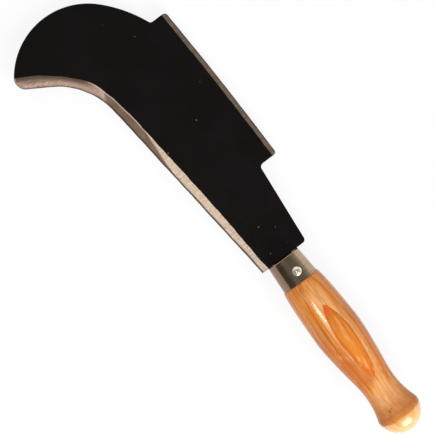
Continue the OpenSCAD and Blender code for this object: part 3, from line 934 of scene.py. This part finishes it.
# %% Varnished wood: colours
outer = lay(late.ramp([(0.0, (244, 184, 120)), (0.45, (235, 162, 90)), (0.75, (220, 132, 52)),
                       (0.93, (198, 104, 32)), (0.985, (184, 92, 26)), (1.0, (232, 158, 88))]),
            (streaks.spread(0.5, 0.64, 0.0, 0.55), (192, 100, 32)), (palm_and_shade, (184, 98, 42)))
heart = lay(late.ramp([(0.5, (222, 136, 54)), (0.8, (218, 127, 44)), (0.93, (206, 110, 36)),
                       (0.98, (192, 96, 30))]),
            (loop_tip * 0.85, along.zone(-30, 0).mix((206, 98, 36), (236, 98, 40))))
wood = lay(outer,
           (layers["Inside"] * (1.0 - calm), heart),
           # Painted shade: the further from the pith above the handle, so the further round its sides, the
           # deeper the orange.
           (layers["Count"].spread(0.5, 1.1, 0.0, 0.55), (202, 110, 32)),
           (layers["Fibre"].spread(0.5, 0.64, 0.0, 0.5), (196, 102, 28)),
           (layers["Fibre"].spread(0.46, 0.34, 0.0, 0.45), (250, 196, 132)),
           (layers["Pores"] * 0.35, (150, 76, 28)),
           (painted_light_front, (250, 158, 66)),
           (flare * 0.45, (236, 164, 104)),
           # Painted shade: darker towards the rim, on the flare that turns away from the light.
           (along.zone(-60, -70, 0.0, 0.5), (214, 120, 46)),
           (along.zone(-70, -76, 0.0, 0.52), (164, 86, 18)),
           (nicks * 0.85, (96, 50, 18)))
ridges = layers["Fibre"] - layers["Pores"] - nicks * 4.0
dress(varnish, {"Base Color": wood, "Roughness": place.gloss(60.0, 0.2, 0.34),
                "Coat Weight": along.zone(-52, -40, 0.05, 0.3) + along.zone(-8, 12, 0.0, 0.15),
                "Normal": ridges.bump(0.02 * MM, 0.5), "Specular IOR Level": 0.12, "Coat Roughness": 0.1})

# %% [markdown]
# Past the rim the handle runs into a ball, and the paler end starts at a line on this ball. The line is not
# square to the axis: it lies further out on the upper side. A circle of latitude would be square to the axis,
# so here the latitude of the line changes with the angle round the axis, and both pieces are cut to it.

# %% Ball at the end of the handle
DOME_CENTRE, DOME_RADIUS = -74.4 * MM, 17.6 * MM
SEAM_TILT, SEAM_TURN, SEAM_GAP = 4.1, 20.0, 0.5
cap_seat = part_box("handle")[0].x
round_axis = np.linspace(0, 360, STEPS, endpoint=False)
seam = np.degrees(np.arcsin((DOME_CENTRE - cap_seat) / DOME_RADIUS))
seam = seam + SEAM_TILT * np.sin(np.radians(round_axis - SEAM_TURN))


def ball_band(start, end, rows):
    """Part of the ball between two lines, each a latitude l in degrees for every angle a round the axis: the
    points (centre - r sin l, r cos l cos a, r cos l sin a), as l goes evenly from start to end."""
    share = np.linspace(0, 1, rows)[:, None]
    latitude = np.radians((1 - share) * start + share * end)
    angle, ring = np.radians(round_axis), DOME_RADIUS * np.cos(latitude)
    points = [DOME_CENTRE - DOME_RADIUS * np.sin(latitude), ring * np.cos(angle), ring * np.sin(angle)]
    return np.stack(points, axis=-1).reshape(-1, 3)


print("latitude of the seam in degrees:", round(seam.min(), 1), "to", round(seam.max(), 1))

# %% Handle
LATHE_WAVE, SOCKET_RADIUS, GLUE_GAP = 0.04 * MM, 7.6 * MM, 0.1 * MM
front_x, cap_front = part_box("handle")[1].x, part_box("butt_cap")[1].x
socket_end = cap_front + GLUE_GAP


def lathe_marks(along, angle):
    """A turned surface is never quite round: slow waves along and round it, inwards, LATHE_WAVE at most."""
    return -LATHE_WAVE / 2 * (1 + np.sin(2 * angle + 35 * along) * np.sin(210 * along))


# Spigot in the ferrule, and behind the ferrule's end a step with a rounded lip, as (x, radius) rows.
spigot = np.array([[front_x, 0], [front_x, 12.2 * MM], [ferrule_from, 13.9 * MM], [ferrule_from, 15.1 * MM],
                   [ferrule_from - 0.12 * MM, 15.5 * MM], [ferrule_from - 0.45 * MM, 15.75 * MM]])
socket = np.array([[cap_seat, 16.8 * MM], [cap_seat, SOCKET_RADIUS], [socket_end, SOCKET_RADIUS],
                   [socket_end, 0]])
handle_points = np.concatenate([turned(np.concatenate([spigot, grip]), lathe_marks),
                                ball_band(0, seam - SEAM_GAP, 10), turned(socket)])
make_piece("turned_handle", handle_points, turned_quads(handle_points), "handle", [varnish])

# %% [markdown]
# ## Domed end
# The pale end is the rest of the ball, with a spigot that goes into the handle. A UV sphere could be cut in
# two for it. The same band of latitudes, carried on to the pole, gives it with its edge along the slanted
# line.

# %% Domed end
pale, place = new_finish("pale lacquered wood")
layers = layers_at(place)
wood = lay(layers["Late wood"].ramp([(0.0, (222, 171, 98)), (0.3, (219, 162, 87)), (0.8, (216, 155, 79)),
                                     (0.97, (208, 143, 70)), (1.0, (220, 165, 91))]),
           (layers["Fibre"].spread(0.5, 0.75, 0.0, 0.35), (212, 144, 74)),
           (layers["Pores"] * 0.6, (158, 104, 58)))
dress(pale, {"Base Color": wood, "Roughness": place.gloss(80.0, 0.16, 0.3),
             "Normal": layers["Fibre"].bump(0.02 * MM, 0.4), "Specular IOR Level": 0.2,
             "Coat Weight": 1.0, "Coat IOR": 1.9, "Coat Roughness": 0.25})
CAP_SPIGOT = SOCKET_RADIUS - GLUE_GAP
cap_inside = np.array([[cap_front, 0], [cap_front, CAP_SPIGOT], [cap_seat, CAP_SPIGOT],
                       [cap_seat, 16.7 * MM]])
cap_points = np.concatenate([turned(cap_inside), ball_band(seam + SEAM_GAP, 90, 48)])
make_piece("domed_end", cap_points, turned_quads(cap_points), "butt_cap", [pale])

# %% [markdown]
# ## Floor
# The tool lies flat on three points: the swell of the handle, the nose and a corner of the back plate. The
# plane through them is the floor. It is white to the camera, as a lit studio table is, and keeps a share of
# plain white paint so that the shadow of the tool still shows on it.

# %% Floor through the three points of rest
FLOOR_HALF, FLOOR_GAP = 3.0, 0.2 * MM
SWELL_REST = (18 * MM, 0, -18.5 * MM)
rest = np.array([[nose_end, nose_centre[1], -half_plate], [*back_nose, -half_plate], SWELL_REST])
slope_x, slope_y, level = np.linalg.solve(np.column_stack([rest[:, :2], np.ones(3)]), rest[:, 2])
square = FLOOR_HALF * np.array([[-1, -1], [1, -1], [1, 1], [-1, 1]])
corners = np.column_stack([square, square @ [slope_x, slope_y] + level - FLOOR_GAP])
floor_mesh = bpy.data.meshes.new("floor")
floor_mesh.from_pydata(corners.tolist(), [], [[0, 1, 2, 3]])
floor = bpy.data.objects.new("floor", floor_mesh)
bpy.context.scene.collection.objects.link(floor)
print("floor tilt in degrees:", np.round(np.degrees(np.arctan([slope_x, slope_y])), 2))

# %% White table
SEEN_GLOW, MIRRORED_GLOW, SEEN_WHITE, LIT_GREY = 0.85, 0.5, 0.95, 0.35


def cleared(holder):
    """The node tree of a material or of a world, emptied, with two masks: rays from the camera, and rays that
    come from gloss or glass."""
    holder.use_nodes = True
    holder.node_tree.nodes.clear()
    path = put(holder.node_tree, "LightPath")
    mirrored = path["Is Glossy Ray"].math("MAXIMUM", path["Is Transmission Ray"])
    return holder.node_tree, path["Is Camera Ray"], mirrored


white_table = bpy.data.materials.new("white table")
tree, from_camera, mirrored = cleared(white_table)
own_light = from_camera * SEEN_GLOW + mirrored * MIRRORED_GLOW
whiteness = from_camera.math("MAXIMUM", mirrored).spread(0.0, 1.0, LIT_GREY, SEEN_WHITE)
matt = put(tree, "BsdfDiffuse", {"Color": whiteness})[0]
glow = put(tree, "Emission", {"Color": (1, 1, 1, 1), "Strength": 1.0})[0]
put(tree, "OutputMaterial", {"Surface": put(tree, "MixShader", {0: own_light, 1: matt, 2: glow})[0]})
floor_mesh.materials.append(white_table)
print("finish:", white_table.name)

# %% [markdown]
# ## Light
# A flat glossy plate mirrors what is above it, and a polished tube mirrors everything on both its sides. A
# dark ceiling therefore keeps the lacquer black and the ferrule dark in its middle. The two big lamps stand
# beyond the two ends of the tool, where neither mirrors them, and a small one overhead draws the bright
# streak on the swell of the handle. Seen from the nose the plate would mirror the lamp at the foot and turn
# white. That lamp is therefore split in two: one part shows in gloss, on the rivet and the domed end, and the
# other, its fill, only lights.

# %% Lamps
bpy.context.scene.view_settings.view_transform = "Standard"
right_way = Vector((math.cos(PICTURE_TURN), math.sin(PICTURE_TURN), 0))
up_way = Vector((-right_way.y, right_way.x, 0))
TARGET = Vector((60 * MM, 10 * MM, 0))
FOOT = {"to_right": 42.3, "to_up": -55.8, "distance": 1.5, "size": (1.0, 0.8)}


def lamp(name, to_right, to_up, distance, size, radiance, mirrored=True):
    """An area lamp, tilted from straight above by so many degrees to the right and to the top of the picture,
    turned to the tool. Its power is radiance times pi times its area. One that is not mirrored adds no glare
    to gloss."""
    tilt = math.radians(math.hypot(to_right, to_up))
    side = (right_way * to_right + up_way * to_up).normalized()
    way = side * math.sin(tilt) + Vector((0, 0, 1)) * math.cos(tilt)
    light = bpy.data.lights.new(name, "AREA")
    light.shape = "RECTANGLE"
    light.size, light.size_y = size
    light.energy = radiance * math.pi * size[0] * size[1]
    holder = bpy.data.objects.new(name, light)
    holder.location = TARGET + way * distance
    holder.rotation_euler = way.to_track_quat("Z", "Y").to_euler()
    holder.visible_glossy = mirrored
    bpy.context.scene.collection.objects.link(holder)
    print(name, "power in W:", round(light.energy, 2))


lamp("foot", **FOOT, radiance=4.6)
lamp("foot fill", **FOOT, radiance=8.8, mirrored=False)
lamp("head", -36.2, 47.8, 1.5, (3.0, 0.8), radiance=0.7)
lamp("streak", -13.29, -13.53, 1.1, (0.075, 0.2), radiance=30.0)

# %% [markdown]
# The room round the tool is a world of soft light. To the camera it is white, and so it is low down in what
# gloss mirrors, where a studio's white sweep would stand. Higher up, gloss sees two walls: one beyond the
# main edge and a paler one beyond the back, which give the ferrule its light bands.

# %% Surroundings
SOFT_LIGHT = 0.46
world = bpy.data.worlds.new("studio")
bpy.context.scene.world = world
tree, from_camera, mirrored = cleared(world)
_, sideways, height = put(tree, "TexCoord")["Generated"].parts()
edge_wall = height.spread(0.7, 0.97, 0.1, 0.25) + height.spread(0.34, 0.05, 0.0, 0.75)
back_wall = height.spread(0.95, 0.0, 0.22, 0.64)
on_edge_side = sideways.spread(-0.15, 0.15)
walls = edge_wall * on_edge_side + back_wall * (1.0 - on_edge_side)
around = (walls - SOFT_LIGHT) * mirrored + SOFT_LIGHT
white = from_camera.math("MAXIMUM", mirrored * height.spread(0.3, 0.05))
strength = around * (1.0 - white) + white
sky = put(tree, "Background", {"Color": (1, 1, 1, 1), "Strength": strength})[0]
put(tree, "OutputWorld", {"Surface": sky})
print("soft light:", SOFT_LIGHT)
